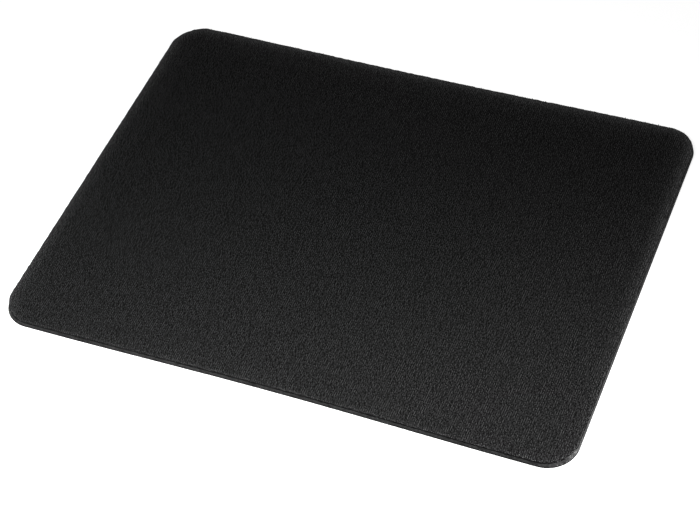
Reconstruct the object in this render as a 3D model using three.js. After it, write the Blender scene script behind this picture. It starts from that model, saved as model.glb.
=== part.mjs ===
// A cloth-topped mouse pad: knitted cloth, bonded by a hot-melt film to a die-cut sheet of sponge rubber.
// Millimetres, +Z up. The origin is on the table under the middle of the pad, with +X along its long side.
import * as THREE from "three";

// Driving dimensions. The outline is measured at the foot of the cut edge.
const padLength = 240; // along X
const padWidth = 180; // along Y
const cornerRadius = 12.5;
const rubberThickness = 2.5;
const filmThickness = 0.1;
const clothThickness = 0.4;
const crownWidth = 6.5; // band along the outline in which the top rolls down to the cut edge
const crownDrop = 0.6; // how far the top would roll down at the outline
const cutSlant = 0.5; // how far the cut edge leans in from its foot to its top
const seamDepth = 0.4; // how far behind the cut edge the film ends

// Shape of the roll, and fineness of the curves
const crownPower = 2.5; // 2 rolls evenly, and more keeps the roll close to the edge
const crownSteps = 6;
const arcDivisions = 6; // a quarter turn has twice as many segments
const leastArcRadius = 0.5; // an inset ring's corners stay at least this round

// Finishes
const rubberFinish = { color: 0x1f1f1f, roughness: 0.85, metalness: 0 };
const filmFinish = { color: 0x121212, roughness: 0.6, metalness: 0 };
const clothFinish = { color: 0x262627, roughness: 0.95, metalness: 0 };

// Heights of the layers' faces in the flat middle of the pad
const filmSeat = rubberThickness;
const clothSeat = filmSeat + filmThickness;
const padThickness = clothSeat + clothThickness;

/** The pad's rounded outline, moved in by an inset, as points that run anticlockwise seen from above. */
function outlinePoints(inset) {
  const arcRadius = Math.max(cornerRadius - inset, leastArcRadius);
  const arcX = padLength / 2 - inset - arcRadius;
  const arcY = padWidth / 2 - inset - arcRadius;
  const quarter = Math.PI / 2;
  const shape = new THREE.Shape();
  shape.absarc(arcX, arcY, arcRadius, 0, quarter);
  shape.absarc(-arcX, arcY, arcRadius, quarter, 2 * quarter);
  shape.absarc(-arcX, -arcY, arcRadius, 2 * quarter, 3 * quarter);
  shape.absarc(arcX, -arcY, arcRadius, 3 * quarter, 4 * quarter);
  return shape.getPoints(arcDivisions);
}

/** How far every layer has rolled down at an inset from the outline. */
function rollAt(inset) {
  return crownDrop * Math.pow(1 - inset / crownWidth, crownPower);
}

/** A ring of the pad at an inset, on the layer face that lies at a height in the flat middle. */
function ringAt(inset, height) {
  return { inset, z: height - rollAt(inset) };
}

/** The ring in which a layer face meets the slanting cut edge. */
function cutRing(height) {
  return ringAt((cutSlant * height) / padThickness, height);
}

/** The rings of a bonded layer face, from the flat middle out to the end of the film. */
function bondedRings(height) {
  const filmInset = cutSlant + seamDepth;
  return Array.from({ length: crownSteps + 1 }, (_, step) => {
    const inset = THREE.MathUtils.lerp(crownWidth, filmInset, step / crownSteps);
    return ringAt(inset, height);
  });
}

/** A closed solid through rings that run out along its underside, up its edge and in over its top. */
function solidThrough(rings) {
  const outlines = rings.map((ring) => outlinePoints(ring.inset));
  const count = outlines[0].length;
  const positions = rings.flatMap((ring, k) => outlines[k].flatMap((point) => [point.x, point.y, ring.z]));
  const indices = [];
  for (let k = 0; k + 1 < rings.length; k++) {
    for (let i = 0; i < count; i++) {
      const here = k * count + i;
      const next = k * count + ((i + 1) % count);
      indices.push(here, next, next + count, here, next + count, here + count);
    }
  }
  const topStart = (rings.length - 1) * count;
  for (const [a, b, c] of THREE.ShapeUtils.triangulateShape(outlines[0], [])) {
    indices.push(c, b, a);
    indices.push(topStart + a, topStart + b, topStart + c);
  }
  const geometry = new THREE.BufferGeometry();
  geometry.setAttribute("position", new THREE.Float32BufferAttribute(positions, 3));
  geometry.setIndex(indices);
  geometry.computeVertexNormals();
  return geometry;
}

/** A named mesh of one layer. */
function layer(name, rings, finish) {
  const mesh = new THREE.Mesh(solidThrough(rings), new THREE.MeshStandardMaterial(finish));
  mesh.name = name;
  return mesh;
}

/** The sponge rubber: a flat foot, the slanting cut edge and the rolled face that carries the film. */
function rubberBase() {
  const foot = { inset: 0, z: 0 };
  const rings = [foot, cutRing(filmSeat), ...bondedRings(filmSeat).reverse()];
  return layer("rubber_base", rings, rubberFinish);
}

/** The hot-melt film, which ends a little behind the cut edge and leaves a fine seam there. */
function adhesiveFilm() {
  const rings = [...bondedRings(filmSeat), ...bondedRings(clothSeat).reverse()];
  return layer("adhesive_film", rings, filmFinish);
}

/** The knitted cloth, cut flush with the rubber. */
function clothTop() {
  const underside = [...bondedRings(clothSeat), cutRing(clothSeat)];
  const top = [cutRing(padThickness), ...bondedRings(padThickness).reverse()];
  return layer("cloth_top", [...underside, ...top], clothFinish);
}

const mousePad = new THREE.Group();
mousePad.name = "mouse_pad";
mousePad.add(rubberBase(), adhesiveFilm(), clothTop());

export default mousePad;
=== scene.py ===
"""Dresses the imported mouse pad: knitted cloth, bond film, cut sponge rubber and a plain white studio."""
import logging
import math
import random
from collections.abc import Iterable, Iterator
from dataclasses import dataclass, field
from enum import Enum

import bmesh
import bpy
from mathutils import Matrix, Quaternion, Vector, noise


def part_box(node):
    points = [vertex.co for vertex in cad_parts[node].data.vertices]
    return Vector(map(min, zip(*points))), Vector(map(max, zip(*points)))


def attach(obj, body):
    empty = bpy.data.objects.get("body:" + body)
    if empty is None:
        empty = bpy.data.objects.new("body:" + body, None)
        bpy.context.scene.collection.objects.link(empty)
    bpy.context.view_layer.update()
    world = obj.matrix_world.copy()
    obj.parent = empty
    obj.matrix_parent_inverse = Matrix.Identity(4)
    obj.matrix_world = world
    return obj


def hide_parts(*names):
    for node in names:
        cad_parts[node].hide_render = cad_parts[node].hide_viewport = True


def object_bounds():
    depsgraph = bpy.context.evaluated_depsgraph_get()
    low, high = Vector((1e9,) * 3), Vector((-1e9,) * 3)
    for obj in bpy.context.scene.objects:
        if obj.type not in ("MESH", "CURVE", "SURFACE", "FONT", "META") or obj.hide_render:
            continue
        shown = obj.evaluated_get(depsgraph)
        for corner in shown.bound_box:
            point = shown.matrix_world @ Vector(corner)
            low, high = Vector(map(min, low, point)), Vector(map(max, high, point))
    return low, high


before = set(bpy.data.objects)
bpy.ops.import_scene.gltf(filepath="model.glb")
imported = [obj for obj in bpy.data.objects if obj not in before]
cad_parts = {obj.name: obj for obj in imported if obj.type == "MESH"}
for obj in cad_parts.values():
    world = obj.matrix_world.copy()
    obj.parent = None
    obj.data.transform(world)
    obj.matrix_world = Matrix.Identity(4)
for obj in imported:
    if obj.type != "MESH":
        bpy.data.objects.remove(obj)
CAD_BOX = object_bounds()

LOG = logging.getLogger("mouse_pad")
MM = 0.001
ROOT_BODY = "root"
# Attribute of the pale rim: partly loose fibre, partly painted glare.
RIM_FLUFF_AND_GLARE = "rim_fluff_and_glare"
ROUND_PROFILE = 0.5
STRAIGHT_SIDES = 4

Colour = tuple[float, float, float]
Rgba = tuple[float, float, float, float]
SocketOrValue = bpy.types.NodeSocket | float | Rgba
Profile = list[tuple[float, float]]


class Layer(Enum):
    """The laminate's layers, by the names of their CAD nodes."""

    RUBBER = "rubber_base"
    FILM = "adhesive_film"
    CLOTH = "cloth_top"

    @property
    def face_height(self) -> float:
        """Height of the layer's upper face in the flat middle of the pad."""
        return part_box(self.value)[1].z


class Slot(Enum):
    """The record's material slots."""

    RUBBER = "sponge_rubber"
    FILM = "hot_melt_film"
    CLOTH = "knit_cloth"


class MathOp(Enum):
    """The sums that the finishes use."""

    ADD = "ADD"
    MULTIPLY = "MULTIPLY"
    MULTIPLY_ADD = "MULTIPLY_ADD"
    FLOOR = "FLOOR"
    FRACTION = "FRACT"
    MAXIMUM = "MAXIMUM"
    FLOORED_MODULO = "FLOORED_MODULO"


class NodeSketch:
    """A node tree that is drawn up a node at a time."""

    def __init__(self, tree: bpy.types.NodeTree) -> None:
        """Starts from an emptied tree."""
        self.tree = tree
        self.tree.nodes.clear()

    def add(self, kind: str, **settings: object) -> bpy.types.Node:
        """Adds a node.

        Args:
            kind: Blender's name of the node type.
            settings: Properties to set on the node.

        Returns:
            The new node.
        """
        node = self.tree.nodes.new(kind)
        for name, value in settings.items():
            setattr(node, name, value)
        return node

    def feed(self, socket: bpy.types.NodeSocket, value: SocketOrValue) -> None:
        """Links a socket to another, or sets it to a constant.

        Args:
            socket: The input to fill.
            value: An output socket, or the constant.
        """
        if isinstance(value, bpy.types.NodeSocket):
            self.tree.links.new(value, socket)
        else:
            socket.default_value = value

    def sum(self, operation: MathOp, *terms: SocketOrValue, clamp: bool = False) -> bpy.types.NodeSocket:
        """Adds a Math node.

        Args:
            operation: What it works out.
            terms: Its inputs, in order.
            clamp: Whether the result is kept from 0 to 1.

        Returns:
            The result's socket.
        """
        node = self.add("ShaderNodeMath", operation=operation.value, use_clamp=clamp)
        for socket, term in zip(node.inputs, terms):
            self.feed(socket, term)
        return node.outputs["Value"]

    def ramp(self, value: bpy.types.NodeSocket, start: float, width: float) -> bpy.types.NodeSocket:
        """Stretches part of a value's range to run from 0 to 1.

        Args:
            value: The value's socket.
            start: Value that gives 0.
            width: How much further on it gives 1, or below zero for a ramp that falls.

        Returns:
            Socket of the result, which is kept from 0 to 1.
        """
        return self.sum(MathOp.MULTIPLY_ADD, value, 1.0 / width, -start / width, clamp=True)

    def blend(
        self, factor: SocketOrValue, low: Colour | bpy.types.NodeSocket, high: Colour
    ) -> bpy.types.NodeSocket:
        """Mixes two colours.

        Args:
            factor: 0 gives low, 1 gives high, and more goes past high.
            low: Linear colour at 0, or its socket.
            high: Linear colour at 1.

        Returns:
            The mixed colour's socket.
        """
        node = self.add("ShaderNodeMix", data_type="RGBA", clamp_factor=False)
        self.feed(node.inputs["Factor"], factor)
        low_socket, high_socket = (socket for socket in node.inputs if socket.type == "RGBA")
        self.feed(low_socket, low if isinstance(low, bpy.types.NodeSocket) else (*low, 1.0))
        self.feed(high_socket, (*high, 1.0))
        return next(socket for socket in node.outputs if socket.type == "RGBA")

    def noise(self, vector: bpy.types.NodeSocket, cell: float, detail: float) -> bpy.types.Node:
        """Adds a noise texture.

        Args:
            vector: Coordinates in metres.
            cell: Size of its blotches in metres.
            detail: How many finer octaves it has.

        Returns:
            The noise node.
        """
        node = self.add("ShaderNodeTexNoise", noise_dimensions="3D")
        self.feed(node.inputs["Vector"], vector)
        node.inputs["Scale"].default_value = 1.0 / cell
        node.inputs["Detail"].default_value = detail
        return node

    def height_of(self, place: bpy.types.NodeSocket) -> bpy.types.NodeSocket:
        """Takes the height from a place's coordinates."""
        split = self.add("ShaderNodeSeparateXYZ")
        self.feed(split.inputs["Vector"], place)
        return split.outputs["Z"]

    def relief(self, height: bpy.types.NodeSocket, depth: float, strength: float) -> bpy.types.NodeSocket:
        """Adds a bump.

        Args:
            height: Its height, from 0 to 1.
            depth: What a height of 1 stands for, in metres.
            strength: How much of it shows.

        Returns:
            The bent normal's socket.
        """
        bump = self.add("ShaderNodeBump")
        bump.inputs["Strength"].default_value = strength
        bump.inputs["Distance"].default_value = depth
        self.feed(bump.inputs["Height"], height)
        return bump.outputs["Normal"]


def new_material(name: str) -> tuple[bpy.types.Material, NodeSketch, bpy.types.Node]:
    """Starts a material with an output and a Principled shader.

    Args:
        name: The material's name.

    Returns:
        The material, the sketch of its tree and its Principled node.
    """
    material = bpy.data.materials.new(name)
    material.use_nodes = True
    sketch = NodeSketch(material.node_tree)
    output = sketch.add("ShaderNodeOutputMaterial")
    shader = sketch.add("ShaderNodeBsdfPrincipled")
    sketch.feed(output.inputs["Surface"], shader.outputs["BSDF"])
    return material, sketch, shader


@dataclass(frozen=True)
class Surface:
    """How a finish takes the light."""

    roughness: float
    specular: float
    sheen: float = 0.0
    sheen_roughness: float = 0.5

    def apply(self, shader: bpy.types.Node) -> None:
        """Sets a Principled shader's sockets."""
        shader.inputs["Roughness"].default_value = self.roughness
        shader.inputs["Specular IOR Level"].default_value = self.specular
        shader.inputs["Sheen Weight"].default_value = self.sheen
        shader.inputs["Sheen Roughness"].default_value = self.sheen_roughness


@dataclass(frozen=True)
class KnitFinish:
    """Fine black knit: columns of slanting stitch legs, with fluff and painted glare at the rim.

    The far leg of a column is painted darker, as painted shade for light that falls from one side. Spread is
    how much the stitches differ in brightness, and evening sets each stitch off against its neighbour, so
    that light and dark ones change places more often.
    """

    name: str = "knitted_polyester"
    legs: float = 2.0
    wale: float = 0.815 * MM
    course: float = 0.56 * MM
    turn: float = math.radians(1.4)
    lean: float = 0.5
    stagger: float = 0.5
    wander: float = 0.2
    wander_cell: float = 3.0 * MM
    wander_detail: float = 1.0
    gap_colour: Colour = (0.0027, 0.0027, 0.0027)
    yarn_colour: Colour = (0.0475, 0.0475, 0.0479)
    far_leg_shade: float = 0.46
    spread: float = 1.2
    evening: float = 0.7
    side_dip: float = 1.0
    end_dip: float = 0.4
    fluff_and_glare_gain: float = 2.2
    fluff_and_glare_veil: float = 0.5
    surface: Surface = Surface(roughness=0.9, specular=0.02, sheen=0.02, sheen_roughness=0.4)
    relief: float = 0.06 * MM
    relief_strength: float = 0.2

    def material(self) -> bpy.types.Material:
        """The finished knit material."""
        material, sketch, shader = new_material(self.name)
        height, brightness = self.stitches(sketch)
        # Partly painted glare: the rim's fluff brightens the stitches and lays a pale veil over them.
        fluff_and_glare = sketch.add("ShaderNodeAttribute", attribute_name=RIM_FLUFF_AND_GLARE).outputs["Fac"]
        brightness = sketch.sum(
            MathOp.MULTIPLY, brightness, sketch.sum(MathOp.MULTIPLY_ADD, fluff_and_glare, self.fluff_and_glare_gain, 1.0)
        )
        veil = sketch.sum(MathOp.MULTIPLY, fluff_and_glare, self.fluff_and_glare_veil)
        shade = sketch.sum(MathOp.MULTIPLY_ADD, height, brightness, veil)
        sketch.feed(shader.inputs["Base Color"], sketch.blend(shade, self.gap_colour, self.yarn_colour))
        sketch.feed(shader.inputs["Normal"], sketch.relief(height, self.relief, self.relief_strength))
        self.surface.apply(shader)
        return material

    def stitches(self, sketch: NodeSketch) -> tuple[bpy.types.NodeSocket, bpy.types.NodeSocket]:
        """Draws the stitch legs, two to a column, with neighbours half a stitch apart.

        Args:
            sketch: The material's tree.

        Returns:
            Sockets of the yarn's height, from 0 in the gaps to 1, and of each leg's brightness.
        """
        place = sketch.add("ShaderNodeTexCoord").outputs["Object"]
        turned = sketch.add("ShaderNodeMapping")
        turned.inputs["Rotation"].default_value = (0.0, 0.0, self.turn)
        turned.inputs["Scale"].default_value = (self.legs / self.wale, 1.0 / self.course, 0.0)
        sketch.feed(turned.inputs["Vector"], place)
        drift = sketch.noise(place, self.wander_cell, self.wander_detail)
        drifting = sketch.add("ShaderNodeVectorMath", operation="MULTIPLY_ADD")
        sketch.feed(drifting.inputs[0], drift.outputs["Color"])
        drifting.inputs[1].default_value = (self.wander, self.wander, 0.0)
        sketch.feed(drifting.inputs[2], turned.outputs["Vector"])
        split = sketch.add("ShaderNodeSeparateXYZ")
        sketch.feed(split.inputs["Vector"], drifting.outputs["Vector"])
        across = sketch.sum(MathOp.FRACTION, split.outputs["X"])
        leg = sketch.sum(MathOp.FLOOR, split.outputs["X"])
        near_side = sketch.sum(MathOp.FLOORED_MODULO, leg, self.legs)
        run = sketch.sum(MathOp.MULTIPLY_ADD, across, self.lean, split.outputs["Y"])
        run = sketch.sum(MathOp.MULTIPLY_ADD, near_side, self.stagger, run)
        # Partly painted shade: the colour follows this height down to the gap colour at the legs' sides and
        # in the gaps between them.
        height = sketch.sum(
            MathOp.MULTIPLY,
            self.hump(sketch, across, self.side_dip),
            self.hump(sketch, sketch.sum(MathOp.FRACTION, run), self.end_dip),
        )
        # Partly painted glints: the stitches' random brightness is in part light caught by the filaments and
        # in part the yarn's own tone.
        stitch = sketch.sum(MathOp.FLOOR, run)
        next_leg = sketch.sum(MathOp.ADD, leg, 1.0)
        level = (1.0 - self.spread + self.evening) / 2
        neighbour = self.chance(sketch, next_leg, stitch)
        offset = sketch.sum(MathOp.MULTIPLY_ADD, neighbour, -self.evening, level)
        own = self.chance(sketch, leg, stitch)
        brightness = sketch.sum(MathOp.MULTIPLY_ADD, own, self.spread, offset)
        brightness = sketch.sum(MathOp.MAXIMUM, brightness, 0.0)
        # Painted shade: the far leg of each column is darker, for light that falls from one side.
        side = sketch.sum(MathOp.MULTIPLY_ADD, near_side, 1.0 - self.far_leg_shade, self.far_leg_shade)
        return height, sketch.sum(MathOp.MULTIPLY, brightness, side)

    @staticmethod
    def chance(
        sketch: NodeSketch, leg: bpy.types.NodeSocket, stitch: bpy.types.NodeSocket
    ) -> bpy.types.NodeSocket:
        """A fixed random number for each stitch.

        Args:
            sketch: The material's tree.
            leg: Whole number of the stitch's leg column.
            stitch: Whole number of the stitch in its column.

        Returns:
            Socket of the number, from 0 to 1.
        """
        place = sketch.add("ShaderNodeCombineXYZ")
        sketch.feed(place.inputs["X"], leg)
        sketch.feed(place.inputs["Y"], stitch)
        draw = sketch.add("ShaderNodeTexWhiteNoise", noise_dimensions="2D")
        sketch.feed(draw.inputs["Vector"], place.outputs["Vector"])
        return draw.outputs["Value"]

    @staticmethod
    def hump(sketch: NodeSketch, part: bpy.types.NodeSocket, depth: float) -> bpy.types.NodeSocket:
        """A rounded hump across a stitch.

        Args:
            sketch: The material's tree.
            part: Place across the stitch, from 0 to 1.
            depth: How far the hump falls at both ends, up to 1.

        Returns:
            Socket of the hump's height, 1 in its middle.
        """
        centred = sketch.sum(MathOp.MULTIPLY_ADD, part, 2.0, -1.0)
        square = sketch.sum(MathOp.MULTIPLY, centred, centred)
        return sketch.sum(MathOp.MULTIPLY_ADD, square, -depth, 1.0)


@dataclass(frozen=True)
class ScuffAndPaintedLight:
    """Pale specks laid over any finish round a corner's edge, by default the front right one, where they are
    partly scuffed rubber and partly a painted highlight of the light from the right.
    """

    centre: tuple[float, float, float] = (120.0 * MM, -78.0 * MM, 2.0 * MM)
    reach: float = 20.0 * MM
    colour: Colour = (0.12, 0.12, 0.12)
    speck: float = 0.75 * MM
    speck_detail: float = 2.0
    spread: float = 0.27
    level: float = 0.71
    softness: float = 1 / 3
    lowest: float = 0.3 * MM
    fade: float = 0.1 * MM

    def over(
        self, sketch: NodeSketch, place: bpy.types.NodeSocket, colour: bpy.types.NodeSocket
    ) -> bpy.types.NodeSocket:
        """Lays the specks over a colour.

        Args:
            sketch: The material's tree.
            place: Object coordinates.
            colour: The colour under the specks.

        Returns:
            Socket of the speckled colour.
        """
        away = sketch.add("ShaderNodeVectorMath", operation="DISTANCE")
        sketch.feed(away.inputs[0], place)
        away.inputs[1].default_value = self.centre
        near = sketch.ramp(away.outputs["Value"], self.reach, -self.reach)
        specks = sketch.noise(place, self.speck, self.speck_detail).outputs["Fac"]
        raised = sketch.sum(MathOp.MULTIPLY_ADD, near, self.spread, specks)
        off_floor = sketch.ramp(sketch.height_of(place), self.lowest, self.fade)
        cover = sketch.sum(MathOp.MULTIPLY, sketch.ramp(raised, self.level, self.softness), off_floor)
        return sketch.blend(cover, colour, self.colour)


@dataclass(frozen=True)
class RubberFinish:
    """Matt black sponge rubber, with fine open cells where it is cut, darker near the foot and underneath."""

    name: str = "sponge_rubber"
    cell_colour: Colour = (0.01, 0.01, 0.01)
    wall_colour: Colour = (0.038, 0.038, 0.038)
    cell: float = 0.9 * MM
    cell_detail: float = 3.0
    blotch: float = 5.0 * MM
    blotch_detail: float = 2.0
    fine_share: float = 2.4
    broad_share: float = 1.2
    darkening: float = 1.3
    darker_bottom_height: float = 0.53 * MM
    darker_bottom_blend: float = 0.12 * MM
    darker_bottom_pattern: float = 0.15
    scuffs_and_painted_light: tuple[ScuffAndPaintedLight, ...] = (
        # Front right: pale specks, partly scuffs and partly a painted highlight of the light from the right.
        ScuffAndPaintedLight(),
        # Front left: a painted lighter patch, standing in for more light from the left.
        ScuffAndPaintedLight(centre=(-121.0 * MM, -84.0 * MM, 2.0 * MM), reach=14.0 * MM, level=0.63),
    )
    surface: Surface = Surface(roughness=0.8, specular=0.04)
    relief: float = 0.08 * MM
    relief_strength: float = 0.5

    def material(self) -> bpy.types.Material:
        """The finished rubber material."""
        material, sketch, shader = new_material(self.name)
        place = sketch.add("ShaderNodeTexCoord").outputs["Object"]
        fine = sketch.noise(place, self.cell, self.cell_detail).outputs["Fac"]
        broad = sketch.noise(place, self.blotch, self.blotch_detail).outputs["Fac"]
        broad_shade = sketch.sum(MathOp.MULTIPLY_ADD, broad, self.broad_share, -self.darkening)
        shade = sketch.sum(MathOp.MULTIPLY_ADD, fine, self.fine_share, broad_shade, clamp=True)
        # Darker along the lowest part of the side and underneath, where only part of the cell pattern shows.
        above_darker_bottom = sketch.ramp(sketch.height_of(place), self.darker_bottom_height, self.darker_bottom_blend)
        share = sketch.sum(MathOp.MULTIPLY_ADD, above_darker_bottom, 1.0 - self.darker_bottom_pattern, self.darker_bottom_pattern)
        shade = sketch.sum(MathOp.MULTIPLY, shade, share)
        colour = sketch.blend(shade, self.cell_colour, self.wall_colour)
        for scuff_and_painted_light in self.scuffs_and_painted_light:
            colour = scuff_and_painted_light.over(sketch, place, colour)
        sketch.feed(shader.inputs["Base Color"], colour)
        sketch.feed(shader.inputs["Normal"], sketch.relief(fine, self.relief, self.relief_strength))
        self.surface.apply(shader)
        return material


@dataclass(frozen=True)
class FilmFinish:
    """Black hot-melt film, slightly uneven where it was pressed out."""

    name: str = "hot_melt_film"
    dull_colour: Colour = (0.001, 0.001, 0.001)
    bright_colour: Colour = (0.006, 0.006, 0.006)
    blotch: float = 2.5 * MM
    blotch_detail: float = 2.0
    dull_level: float = 1 / 3
    blend: float = 1 / 3
    # Pale specks at the front right corner, partly scuffs and partly a painted highlight.
    scuff_and_painted_light: ScuffAndPaintedLight = ScuffAndPaintedLight(level=0.64)
    surface: Surface = Surface(roughness=0.7, specular=0.02)

    def material(self) -> bpy.types.Material:
        """The finished film material."""
        material, sketch, shader = new_material(self.name)
        place = sketch.add("ShaderNodeTexCoord").outputs["Object"]
        blotches = sketch.noise(place, self.blotch, self.blotch_detail).outputs["Fac"]
        shade = sketch.ramp(blotches, self.dull_level, self.blend)
        colour = sketch.blend(shade, self.dull_colour, self.bright_colour)
        sketch.feed(shader.inputs["Base Color"], self.scuff_and_painted_light.over(sketch, place, colour))
        self.surface.apply(shader)
        return material


@dataclass(frozen=True)
class YarnEndFinish:
    """Cut polyester ends, most of them paler than the knit because the die has fluffed them."""

    name: str = "cut_yarn_ends"
    dark_colour: Colour = (0.01, 0.01, 0.01)
    pale_colour: Colour = (0.09, 0.09, 0.09)
    patch: float = 1.4 * MM
    patch_detail: float = 1.0
    dark_level: float = 1 / 3
    blend: float = 1 / 3
    # Pale specks at the front right corner, partly scuffs and partly a painted highlight.
    scuff_and_painted_light: ScuffAndPaintedLight = ScuffAndPaintedLight(level=0.65)
    surface: Surface = Surface(roughness=0.9, specular=0.02, sheen=0.02, sheen_roughness=0.4)

    def material(self) -> bpy.types.Material:
        """The finished material of the yarn ends."""
        material, sketch, shader = new_material(self.name)
        place = sketch.add("ShaderNodeTexCoord").outputs["Object"]
        patches = sketch.noise(place, self.patch, self.patch_detail).outputs["Fac"]
        shade = sketch.ramp(patches, self.dark_level, self.blend)
        colour = sketch.blend(shade, self.dark_colour, self.pale_colour)
        sketch.feed(shader.inputs["Base Color"], self.scuff_and_painted_light.over(sketch, place, colour))
        self.surface.apply(shader)
        return material


@dataclass(frozen=True)
class PadShape:
    """Sizes that the layers of the laminate share. Insets are measured in from the foot of the cut edge."""

    length: float
    width: float
    thickness: float
    corner_radius: float = 12.5 * MM
    crown_width: float = 6.5 * MM
    crown_drop: float = 0.6 * MM
    crown_power: float = 2.5
    cut_slant: float = 0.5 * MM
    seam_depth: float = 0.4 * MM
    cloth_set_back: float = 0.1 * MM
    front_bow: float = 1.1 * MM
    back_bow: float = 0.8 * MM
    bow_power: float = 6.0
    front_left_lean: float = 0.8 * MM
    front_right_lean: float = 0.8 * MM
    back_left_lean: float = 1.2 * MM
    back_right_lean: float = 0.2 * MM
    crown_steps: int = 8
    corner_segments: int = 30
    edge_step: float = 0.7 * MM
    panel: float = 15.0 * MM

    @classmethod
    def from_frame(cls) -> "PadShape":
        """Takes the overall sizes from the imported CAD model."""
        size = CAD_BOX[1] - CAD_BOX[0]
        return cls(length=size.x, width=size.y, thickness=size.z)

    @property
    def film_inset(self) -> float:
        """Inset at which the thin part of the bond film ends."""
        return self.cut_slant + self.seam_depth

    @property
    def cloth_rim(self) -> float:
        """Inset of the cloth's upper rim, which has drawn back a little from the cut edge."""
        return self.cut_slant + self.cloth_set_back

    @property
    def arc_centre(self) -> Vector:
        """Centre of the corner at which x and y are greatest."""
        return Vector((self.length / 2 - self.corner_radius, self.width / 2 - self.corner_radius, 0.0))

    def roll_at(self, inset: float) -> float:
        """How far the layers have rolled down at an inset."""
        return self.crown_drop * (1.0 - inset / self.crown_width) ** self.crown_power

    def cut_inset(self, height: float) -> float:
        """Inset at which a face of that height in the flat middle meets the slanting cut edge."""
        return self.cut_slant * height / self.thickness

    def past_corners(self, point: Vector) -> Vector:
        """How far a point lies outside the rectangle of the corners' centres, with the signs of its sides."""
        arc = self.arc_centre
        return Vector(
            (
                math.copysign(max(abs(point.x) - arc.x, 0.0), point.x),
                math.copysign(max(abs(point.y) - arc.y, 0.0), point.y),
                0.0,
            )
        )

    def inset_of(self, point: Vector) -> float:
        """Inset of a point, which stops growing a corner radius in."""
        return self.corner_radius - self.past_corners(point).length

    def outward(self, point: Vector) -> Vector:
        """Direction square to the outline at a point near the rim."""
        return self.past_corners(point).normalized()

    def rolled(self, height: float, outermost: Iterable[float] = ()) -> Profile:
        """Lists a layer face from its rim to the flat middle.

        Args:
            height: Its height in the flat middle.
            outermost: Insets outside the thin part of the film, from the rim inwards.

        Returns:
            Insets and heights.
        """
        span = self.crown_width - self.film_inset
        insets = list(outermost)
        insets += [self.film_inset + span * step / self.crown_steps for step in range(self.crown_steps + 1)]
        return [(inset, height - self.roll_at(inset)) for inset in insets]

    def plate(self, mesh: bmesh.types.BMesh, inset: float, z: float) -> bmesh.types.BMFace:
        """Makes the pad's rounded outline as one face that looks up.

        Args:
            mesh: The mesh to add it to.
            inset: How far the outline is moved in.
            z: Its height.

        Returns:
            The new face.
        """
        half = Vector((self.length / 2 - inset, self.width / 2 - inset, 1.0))
        corners = bmesh.ops.create_grid(mesh, x_segments=1, y_segments=1, size=1.0)["verts"]
        bmesh.ops.scale(mesh, vec=half, verts=corners)
        bmesh.ops.translate(mesh, vec=(0.0, 0.0, z), verts=corners)
        rounded = bmesh.ops.bevel(
            mesh,
            geom=corners,
            offset=self.corner_radius - inset,
            offset_type="OFFSET",
            segments=self.corner_segments,
            profile=ROUND_PROFILE,
            affect="VERTICES",
            material=-1,
        )
        face = rounded["verts"][0].link_faces[0]
        for edge in sorted(face.edges, key=lambda e: e.calc_length())[-STRAIGHT_SIDES:]:
            cuts = round(edge.calc_length() / self.edge_step) - 1
            bmesh.ops.subdivide_edges(mesh, edges=[edge], cuts=cuts)
        if face.normal.z < 0:
            face.normal_flip()
        return face

    def face_through(self, mesh: bmesh.types.BMesh, profile: Profile) -> list[bmesh.types.BMEdge]:
        """Makes a layer face ring by ring, from its rim to the flat middle.

        Args:
            mesh: The mesh to add it to.
            profile: Insets and heights of the rings, from the rim inwards.

        Returns:
            The edges of its rim.
        """
        still_open = {edge for edge in mesh.edges if edge.is_boundary}
        face = self.plate(mesh, *profile[0])
        for (outer, outer_z), (inner, inner_z) in zip(profile, profile[1:]):
            bmesh.ops.inset_region(
                mesh,
                faces=[face],
                thickness=inner - outer,
                depth=inner_z - outer_z,
                use_boundary=True,
                use_even_offset=True,
            )
        cut_into_cells(mesh, face, self.panel, turn=0.0)
        return [edge for edge in mesh.edges if edge.is_boundary and edge not in still_open]

    def settle(self, mesh: bmesh.types.BMesh) -> None:
        """Moves a finished piece as the cloth's pull has drawn it in.

        Args:
            mesh: The piece's mesh.
        """
        for vert in mesh.verts:
            vert.co += self.pull_at(vert.co)

    def pull_at(self, point: Vector) -> Vector:
        """How far the cloth's pull has moved a point: in along the long sides, and in at the corners' tops.

        Args:
            point: A place on the pad as it was cut.

        Returns:
            The move.
        """
        leans = (self.front_left_lean, self.front_right_lean)
        bow = self.front_bow
        if point.y > 0:
            leans = (self.back_left_lean, self.back_right_lean)
            bow = -self.back_bow
        along = min(abs(point.x) / self.arc_centre.x, 1.0)
        bow *= (1.0 + math.cos(math.pi * along)) / 2 * (2 * abs(point.y) / self.width) ** self.bow_power
        past = self.past_corners(point) / self.corner_radius
        diagonal = 2 * abs(past.x * past.y)
        lean = leans[point.x > 0] * diagonal * point.z / self.thickness
        return Vector((0.0, bow, 0.0)) - past * lean


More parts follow.
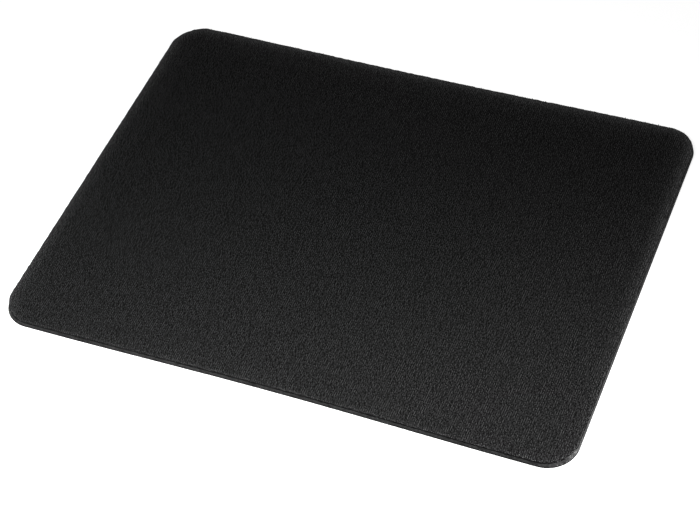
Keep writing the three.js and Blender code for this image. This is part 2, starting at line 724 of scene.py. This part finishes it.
def cut_into_cells(
    mesh: bmesh.types.BMesh, face: bmesh.types.BMFace, pitch: float, turn: float
) -> list[bmesh.types.BMFace]:
    """Cuts a level face into a lattice of squares.

    Args:
        mesh: The mesh that holds the face.
        face: The face to cut.
        pitch: Side of a square.
        turn: Angle of the lattice to X.

    Returns:
        The squares, and the part squares along the face's edge.
    """
    cells = [face]
    corners = [vert.co.copy() for vert in face.verts]
    for angle in (turn, turn + math.pi / 2):
        direction = Vector((math.cos(angle), math.sin(angle), 0.0))
        reach = max(corner.dot(direction) for corner in corners)
        count = math.ceil(reach / pitch) - 1
        for line in range(-count, count + 1):
            edges = {edge for cell in cells for edge in cell.edges}
            verts = {vert for cell in cells for vert in cell.verts}
            cut = bmesh.ops.bisect_plane(
                mesh,
                geom=[*cells, *edges, *verts],
                plane_co=direction * (line * pitch),
                plane_no=direction,
            )
            cells = [item for item in cut["geom"] if isinstance(item, bmesh.types.BMFace)]
    return cells


def ring_at(mesh: bmesh.types.BMesh, z: float, tolerance: float = 0.002 * MM) -> list[bmesh.types.BMEdge]:
    """Finds the ring of edges that lies at a height.

    Args:
        mesh: The mesh that holds it.
        z: The height.
        tolerance: How far its points may lie off.

    Returns:
        The ring's edges.
    """
    return [edge for edge in mesh.edges if all(abs(vert.co.z - z) < tolerance for vert in edge.verts)]


def round_edges(
    mesh: bmesh.types.BMesh, edges: list[bmesh.types.BMEdge], width: float, segments: int
) -> None:
    """Bevels a loop of edges.

    Args:
        mesh: The mesh that holds them.
        edges: The loop.
        width: How far the bevel reaches on each side.
        segments: 1 for a chamfer, more for a round.
    """
    bmesh.ops.bevel(
        mesh,
        geom=edges,
        offset=width,
        offset_type="OFFSET",
        segments=segments,
        profile=ROUND_PROFILE,
        affect="EDGES",
        material=-1,
    )


def roughen(shape: PadShape, verts: Iterable[bmesh.types.BMVert], depth: float, cell: float) -> None:
    """Makes a cut edge slightly uneven.

    Args:
        shape: The pad's sizes.
        verts: Points of the edge.
        depth: How far they move in and out at most.
        cell: Length of the waves.
    """
    for vert in verts:
        vert.co += shape.outward(vert.co) * (depth * noise.noise(vert.co / cell))


def finish_mesh(mesh: bmesh.types.BMesh, name: str, sharp_angle: float) -> bpy.types.Object:
    """Turns a bmesh into a smooth-shaded object at the origin.

    Args:
        mesh: The closed shape, which is freed.
        name: The piece's name.
        sharp_angle: Edges that turn by more than this stay crisp.

    Returns:
        The new object.
    """
    bmesh.ops.recalc_face_normals(mesh, faces=mesh.faces)
    for face in mesh.faces:
        face.smooth = True
    for edge in mesh.edges:
        edge.smooth = edge.calc_face_angle(0.0) < sharp_angle
    data = bpy.data.meshes.new(name)
    mesh.to_mesh(data)
    mesh.free()
    piece = bpy.data.objects.new(name, data)
    bpy.context.scene.collection.objects.link(piece)
    return piece


def place_piece(piece: bpy.types.Object, material: bpy.types.Material, slot: Slot) -> None:
    """Gives a piece its finish and its body.

    Args:
        piece: The piece.
        material: Its finish.
        slot: The record's slot that the finish belongs to; not used.
    """
    piece.data.materials.append(material)
    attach(piece, ROOT_BODY)
    LOG.info("%s: %d faces", piece.name, len(piece.data.polygons))


@dataclass(frozen=True)
class RimFluffAndGlare:
    """Pale cloth along the rim, partly loose fibre and partly painted glare: a short pile at the cut, and
    lint, thinnest at the front.
    """

    pile_and_glare: float = 0.2
    pile_and_glare_reach: float = 0.7 * MM
    lint_and_glare: float = 1.16
    lint_and_glare_power: float = 3.4
    # Weights of the painted glare along each side, set by how the light falls there.
    right_front: float = 0.0
    right_back: float = 1.3
    left_front: float = 0.55
    left_back: float = 1.05
    front: float = 0.06
    towards_back: float = 2.0

    def at(self, shape: PadShape, point: Vector) -> float:
        """How much fluff and painted glare there is at a place.

        Args:
            shape: The pad's sizes.
            point: A place on the cloth as it was cut.

        Returns:
            Its brightness as a share of the yarn's.
        """
        inset = shape.inset_of(point)
        outward = shape.outward(point)
        front_end, back_end = self.left_front, self.left_back
        if outward.x > 0:
            front_end, back_end = self.right_front, self.right_back
        along_x = front_end + (back_end - front_end) * (point.y / shape.width + 0.5) ** self.towards_back
        along_y = 1.0 if outward.y > 0 else self.front
        lint_and_glare = self.lint_and_glare * (along_x * outward.x**2 + along_y * outward.y**2)
        thinning = max(1.0 - inset / shape.corner_radius, 0.0) ** self.lint_and_glare_power
        return self.pile_and_glare * math.exp(-inset / self.pile_and_glare_reach) + lint_and_glare * thinning


@dataclass
class ClothTop:
    """The knitted cloth, with a rounded and slightly uneven cut rim that has drawn back a little."""

    shape: PadShape
    finish: KnitFinish = field(default_factory=KnitFinish)
    fluff_and_glare: RimFluffAndGlare = field(default_factory=RimFluffAndGlare)
    rim_round: float = 0.04 * MM
    rim_segments: int = 2
    under_chamfer: float = 0.36 * MM
    fray_depth: float = 0.13 * MM
    fray_cell: float = 1.3 * MM
    fray_reach: float = 0.75 * MM
    sharp_angle: float = math.radians(60.0)

    def build(self) -> bpy.types.Object:
        """Builds and dresses the cloth.

        Returns:
            The cloth.
        """
        mesh = bmesh.new()
        shape = self.shape
        top, seat = Layer.CLOTH.face_height, Layer.FILM.face_height
        rim, lip = shape.cloth_rim, shape.cut_inset(seat) + shape.cloth_set_back
        cut_foot = (lip, seat - shape.roll_at(lip) + self.under_chamfer)
        upper = shape.face_through(mesh, [cut_foot, *shape.rolled(top, [rim])])
        lower = shape.face_through(mesh, shape.rolled(seat, [lip + self.under_chamfer]))
        bmesh.ops.bridge_loops(mesh, edges=upper + lower)
        round_edges(mesh, ring_at(mesh, top - shape.roll_at(rim)), self.rim_round, self.rim_segments)
        frayed = [vert for vert in mesh.verts if shape.inset_of(vert.co) < self.fray_reach]
        roughen(shape, frayed, self.fray_depth, self.fray_cell)
        self.mark_fluff_and_glare(mesh)
        shape.settle(mesh)
        cloth = finish_mesh(mesh, "knit_cloth", self.sharp_angle)
        place_piece(cloth, self.finish.material(), Slot.CLOTH)
        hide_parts(Layer.CLOTH.value)
        return cloth

    def mark_fluff_and_glare(self, mesh: bmesh.types.BMesh) -> None:
        """Writes each point's fluff and painted glare into the attribute that the finish reads."""
        layer = mesh.verts.layers.float.new(RIM_FLUFF_AND_GLARE)
        for vert in mesh.verts:
            vert[layer] = self.fluff_and_glare.at(self.shape, vert.co)


@dataclass
class YarnEnds:
    """Cut ends of the knit's yarn, which stand out a little all round the cloth's rim."""

    shape: PadShape
    finish: YarnEndFinish = field(default_factory=YarnEndFinish)
    spacing: float = 0.8 * MM
    thinnest: float = 0.1 * MM
    thickest: float = 0.24 * MM
    shortest: float = 0.4 * MM
    longest: float = 0.75 * MM
    root_depth: float = 0.16 * MM
    border: float = 0.7 * MM
    lowest_tilt: float = math.radians(40.0)
    highest_tilt: float = math.radians(85.0)
    sideways: float = math.radians(80.0)
    tip_share: float = 0.45
    sides: int = 5
    seed: int = 11

    def build(self) -> bpy.types.Object:
        """Builds and dresses the yarn ends.

        Returns:
            All of them as one piece.
        """
        mesh = bmesh.new()
        chance = random.Random(self.seed)
        for place, outward in self.stations(chance):
            self.add_end(mesh, chance, place, outward)
        self.shape.settle(mesh)
        ends = finish_mesh(mesh, "yarn_ends", math.pi)
        place_piece(ends, self.finish.material(), Slot.CLOTH)
        return ends

    def stations(self, chance: random.Random) -> Iterator[tuple[Vector, Vector]]:
        """Walks round the rim.

        Args:
            chance: The draw that sets how far in each end stands.

        Yields:
            Places on the cloth's border, with the outward direction at each.
        """
        shape = self.shape
        top = Layer.CLOTH.face_height
        arc = shape.arc_centre
        sides = [
            (Vector((arc.x, -arc.y, 0.0)), Vector((0.0, 2 * arc.y, 0.0))),
            (Vector((arc.x, arc.y, 0.0)), Vector((-2 * arc.x, 0.0, 0.0))),
            (Vector((-arc.x, arc.y, 0.0)), Vector((0.0, -2 * arc.y, 0.0))),
            (Vector((-arc.x, -arc.y, 0.0)), Vector((2 * arc.x, 0.0, 0.0))),
        ]
        for number, (start, along) in enumerate(sides):
            straight = round(along.length / self.spacing)
            turning = round(shape.corner_radius * math.pi / 2 / self.spacing)
            places = [(start + along * step / straight, 0.0) for step in range(straight)]
            places += [(start + along, math.pi / 2 * step / turning) for step in range(turning)]
            for centre, turn in places:
                angle = number * math.pi / 2 + turn
                outward = Vector((math.cos(angle), math.sin(angle), 0.0))
                inset = shape.cloth_rim + chance.uniform(0.0, self.border)
                place = centre + outward * (shape.corner_radius - inset)
                place.z = top - shape.roll_at(inset)
                yield place, outward

    def add_end(
        self, mesh: bmesh.types.BMesh, chance: random.Random, place: Vector, outward: Vector
    ) -> None:
        """Adds one tapered end, rooted in the cloth.

        Args:
            mesh: The mesh to add it to.
            chance: The draw that sets its size and direction.
            place: Where it comes out.
            outward: Outward direction there.
        """
        thickness = chance.uniform(self.thinnest, self.thickest)
        reach = chance.uniform(self.shortest, self.longest)
        tilt = chance.uniform(self.lowest_tilt, self.highest_tilt)
        swing = chance.uniform(-self.sideways, self.sideways)
        level = Quaternion((0.0, 0.0, 1.0), swing) @ outward
        direction = level * math.cos(tilt) + Vector((0.0, 0.0, math.sin(tilt)))
        middle = place + direction * (reach / 2 - self.root_depth)
        stand = Matrix.Translation(middle) @ direction.to_track_quat("Z", "Y").to_matrix().to_4x4()
        bmesh.ops.create_cone(
            mesh,
            cap_ends=True,
            segments=self.sides,
            radius1=thickness,
            radius2=thickness * self.tip_share,
            depth=reach,
            matrix=stand,
        )


@dataclass
class BondFilm:
    """The hot-melt film, with the uneven bead that was pressed out into the seam at the cut edge. Its black
    makes the dark seam line, partly the film's own colour and partly painted shade of the seam.
    """

    shape: PadShape
    finish: FilmFinish = field(default_factory=FilmFinish)
    bead_inset: float = 0.36 * MM
    bead_root: float = 0.8 * MM
    bead_above: float = 0.42 * MM
    bead_below: float = 0.06 * MM
    bead_wander: float = 0.3 * MM
    bead_cell: float = 2.0 * MM
    sharp_angle: float = math.radians(40.0)

    def build(self) -> bpy.types.Object:
        """Builds and dresses the film.

        Returns:
            The film.
        """
        mesh = bmesh.new()
        seam = (Layer.RUBBER.face_height + Layer.FILM.face_height) / 2 - self.shape.roll_at(self.bead_inset)
        rims = []
        # The bead's black face in the seam is partly painted shade of the seam.
        for layer, lip in ((Layer.FILM, seam + self.bead_above), (Layer.RUBBER, seam - self.bead_below)):
            profile = [(self.bead_inset, lip), *self.shape.rolled(layer.face_height, [self.bead_root])]
            rims += self.shape.face_through(mesh, profile)
        bmesh.ops.bridge_loops(mesh, edges=rims)
        for vert in {vert for edge in rims for vert in edge.verts}:
            vert.co.z += self.bead_wander * noise.noise(vert.co / self.bead_cell)
        self.shape.settle(mesh)
        film = finish_mesh(mesh, "bond_film", self.sharp_angle)
        place_piece(film, self.finish.material(), Slot.FILM)
        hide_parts(Layer.FILM.value)
        return film


@dataclass
class RubberBase:
    """The sponge rubber: die-cut side, and an underside with a moulded grip of small diamonds."""

    shape: PadShape
    finish: RubberFinish = field(default_factory=RubberFinish)
    side_cuts: int = 5
    side_hollow: float = 0.08 * MM
    seam_chamfer: float = 0.1 * MM
    foot_round: float = 0.12 * MM
    foot_segments: int = 3
    cut_depth: float = 0.03 * MM
    cut_cell: float = 1.6 * MM
    grip_margin: float = 2.0 * MM
    grip_pitch: float = 3.0 * MM
    grip_wall: float = 0.45 * MM
    grip_depth: float = 0.25 * MM
    whole_share: float = 0.99
    fill: float = 1.0
    sharp_angle: float = math.radians(40.0)

    def build(self) -> bpy.types.Object:
        """Builds and dresses the rubber.

        Returns:
            The rubber.
        """
        mesh = bmesh.new()
        shape = self.shape
        seat = Layer.RUBBER.face_height
        upper = shape.face_through(mesh, shape.rolled(seat, [shape.cut_inset(seat)]))
        foot = shape.plate(mesh, 0.0, 0.0)
        lower = list(foot.edges)
        foot.normal_flip()
        self.cut_side(mesh, upper, lower)
        self.mould_grip(mesh)
        shape.settle(mesh)
        rubber = finish_mesh(mesh, "sponge_rubber", self.sharp_angle)
        place_piece(rubber, self.finish.material(), Slot.RUBBER)
        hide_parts(Layer.RUBBER.value)
        return rubber

    def cut_side(
        self, mesh: bmesh.types.BMesh, upper: list[bmesh.types.BMEdge], lower: list[bmesh.types.BMEdge]
    ) -> None:
        """Makes the die-cut side, slightly hollow and uneven, with its two edges worn off.

        Args:
            mesh: The rubber's mesh.
            upper: Rim of the upper face.
            lower: Rim of the foot.
        """
        shape = self.shape
        side = bmesh.ops.bridge_loops(mesh, edges=upper + lower)
        uprights = [edge for edge in side["edges"] if edge not in upper and edge not in lower]
        rows = bmesh.ops.subdivide_edges(mesh, edges=uprights, cuts=self.side_cuts, use_grid_fill=True)
        inner = [item for item in rows["geom_inner"] if isinstance(item, bmesh.types.BMVert)]
        top = Layer.RUBBER.face_height
        for vert in inner:
            vert.co -= shape.outward(vert.co) * (self.side_hollow * math.sin(math.pi * vert.co.z / top))
        roughen(shape, inner, self.cut_depth, self.cut_cell)
        round_edges(mesh, upper, self.seam_chamfer, segments=1)
        round_edges(mesh, lower, self.foot_round, self.foot_segments)

    def mould_grip(self, mesh: bmesh.types.BMesh) -> None:
        """Presses a lattice of shallow diamonds into the underside.

        Args:
            mesh: The rubber's mesh.
        """
        foot = max(mesh.faces, key=lambda face: face.calc_area())
        bmesh.ops.inset_region(
            mesh, faces=[foot], thickness=self.grip_margin, use_boundary=True, use_even_offset=True
        )
        cells = cut_into_cells(mesh, foot, self.grip_pitch, turn=math.pi / 4)
        least_area = self.grip_pitch**2 * self.whole_share
        diamonds = [cell for cell in cells if cell.calc_area() > least_area]
        bmesh.ops.inset_individual(
            mesh, faces=diamonds, thickness=self.grip_wall, depth=-self.grip_depth, use_even_offset=True
        )


@dataclass
class Softbox:
    """A soft studio lamp with a grid, which keeps its light together."""

    name: str
    aim: Vector
    azimuth: float
    elevation: float
    distance: float
    size: float
    spread: float
    power: float

    def build(self) -> bpy.types.Object:
        """Hangs the lamp.

        Returns:
            The lamp's object.
        """
        data = bpy.data.lights.new(self.name, "AREA")
        data.shape = "SQUARE"
        data.size = self.size
        data.spread = math.radians(self.spread)
        data.energy = self.power
        lamp = bpy.data.objects.new(self.name, data)
        back = direction_from(self.azimuth, self.elevation)
        lamp.location = self.aim + back * self.distance
        lamp.rotation_mode = "QUATERNION"
        lamp.rotation_quaternion = (-back).to_track_quat("-Z", "Y")
        lamp.visible_camera = False
        bpy.context.scene.collection.objects.link(lamp)
        return lamp


def direction_from(azimuth: float, elevation: float) -> Vector:
    """The direction from the pad to something round it.

    Args:
        azimuth: Degrees to the right of the front, so that 0 is in front and 90 is on the right.
        elevation: Degrees above the table.

    Returns:
        A unit vector.
    """
    turn, rise = math.radians(azimuth), math.radians(elevation)
    return Vector((math.sin(turn) * math.cos(rise), -math.cos(turn) * math.cos(rise), math.sin(rise)))


@dataclass
class Studio:
    """A plain white floor, soft lamps and a white surround."""

    floor_size: float = 6.0
    floor_drop: float = 0.02 * MM
    floor_colour: Colour = (0.8, 0.8, 0.8)
    floor_glow: float = 0.7
    surround_light: float = 0.353
    lamps: tuple[Softbox, ...] = (
        Softbox(
            "front_softbox",
            aim=Vector((-53.0 * MM, -400.0 * MM, 0.0)),
            azimuth=-15.0,
            elevation=72.0,
            distance=0.6,
            size=0.3,
            spread=60.0,
            power=3.17,
        ),
        Softbox(
            "right_softbox",
            aim=Vector((61.0 * MM, -119.0 * MM, 0.0)),
            azimuth=110.0,
            elevation=15.0,
            distance=0.9,
            size=0.15,
            spread=15.4,
            power=0.349,
        ),
    )

    def build(self) -> None:
        """Sets up the floor, the surround and the lamps."""
        self.lay_floor()
        self.light_surround()
        for lamp in self.lamps:
            lamp.build()
            LOG.info("%s: %.2f W", lamp.name, lamp.power)

    @staticmethod
    def seen_directly(sketch: NodeSketch) -> bpy.types.NodeSocket:
        """A factor that is 1 for rays that show the background, and 0 for rays that light the pad."""
        path = sketch.add("ShaderNodeLightPath").outputs
        seen = sketch.sum(MathOp.MAXIMUM, path["Is Camera Ray"], path["Is Glossy Ray"])
        return sketch.sum(MathOp.MAXIMUM, seen, path["Is Transmission Ray"])

    def lay_floor(self) -> None:
        """Lays the pale floor just under the pad."""
        mesh = bmesh.new()
        bmesh.ops.create_grid(mesh, x_segments=1, y_segments=1, size=self.floor_size / 2)
        bmesh.ops.translate(mesh, vec=(0.0, 0.0, -self.floor_drop), verts=mesh.verts)
        data = bpy.data.meshes.new("floor")
        mesh.to_mesh(data)
        mesh.free()
        floor = bpy.data.objects.new("floor", data)
        bpy.context.scene.collection.objects.link(floor)
        material = bpy.data.materials.new("white_sweep")
        material.use_nodes = True
        sketch = NodeSketch(material.node_tree)
        paint = sketch.add("ShaderNodeBsdfDiffuse")
        paint.inputs["Color"].default_value = (*self.floor_colour, 1.0)
        glow = sketch.add("ShaderNodeEmission")
        sketch.feed(
            glow.inputs["Strength"], sketch.sum(MathOp.MULTIPLY, self.seen_directly(sketch), self.floor_glow)
        )
        both = sketch.add("ShaderNodeAddShader")
        sketch.feed(both.inputs[0], paint.outputs["BSDF"])
        sketch.feed(both.inputs[1], glow.outputs["Emission"])
        output = sketch.add("ShaderNodeOutputMaterial")
        sketch.feed(output.inputs["Surface"], both.outputs["Shader"])
        data.materials.append(material)

    def light_surround(self) -> None:
        """Makes the surround white to look at and dim as a light."""
        world = bpy.data.worlds.new("white_surround")
        bpy.context.scene.world = world
        world.use_nodes = True
        sketch = NodeSketch(world.node_tree)
        background = sketch.add("ShaderNodeBackground")
        background.inputs["Color"].default_value = (1.0, 1.0, 1.0, 1.0)
        white_share = 1.0 - self.surround_light
        strength = sketch.sum(
            MathOp.MULTIPLY_ADD, self.seen_directly(sketch), white_share, self.surround_light
        )
        sketch.feed(background.inputs["Strength"], strength)
        output = sketch.add("ShaderNodeOutputWorld")
        sketch.feed(output.inputs["Surface"], background.outputs["Background"])


@dataclass
class Viewpoint:
    """The camera, from above the front right corner with a long lens and a slight tilt to one side."""

    aim: Vector = field(default_factory=lambda: Vector((4.34 * MM, -17.54 * MM, 0.0)))
    azimuth: float = 27.4
    elevation: float = 48.89
    roll: float = -7.42
    distance: float = 794.8 * MM
    lens_mm: float = 101.08
    sensor_mm: float = 36.0

    def build(self) -> bpy.types.Object:
        """Sets up the camera.

        Returns:
            The camera's object.
        """
        data = bpy.data.cameras.new("camera")
        data.sensor_fit = "HORIZONTAL"
        data.sensor_width = self.sensor_mm
        data.lens = self.lens_mm
        camera = bpy.data.objects.new("camera", data)
        back = direction_from(self.azimuth, self.elevation)
        camera.location = self.aim + back * self.distance
        camera.rotation_mode = "QUATERNION"
        level = (-back).to_track_quat("-Z", "Y")
        camera.rotation_quaternion = level @ Quaternion((0.0, 0.0, 1.0), math.radians(self.roll))
        bpy.context.scene.collection.objects.link(camera)
        bpy.context.scene.camera = camera
        return camera


def main() -> None:
    """Builds the pad, the studio and the camera."""
    logging.basicConfig(level=logging.INFO, format="%(name)s %(message)s")
    bpy.context.scene.view_settings.view_transform = "Standard"
    Viewpoint().build()
    shape = PadShape.from_frame()
    RubberBase(shape).build()
    film = BondFilm(shape).build()
    top = ClothTop(shape)
    cloth = top.build()
    ends = YarnEnds(shape).build()
    Studio().build()


if __name__ == "__main__":
    main()
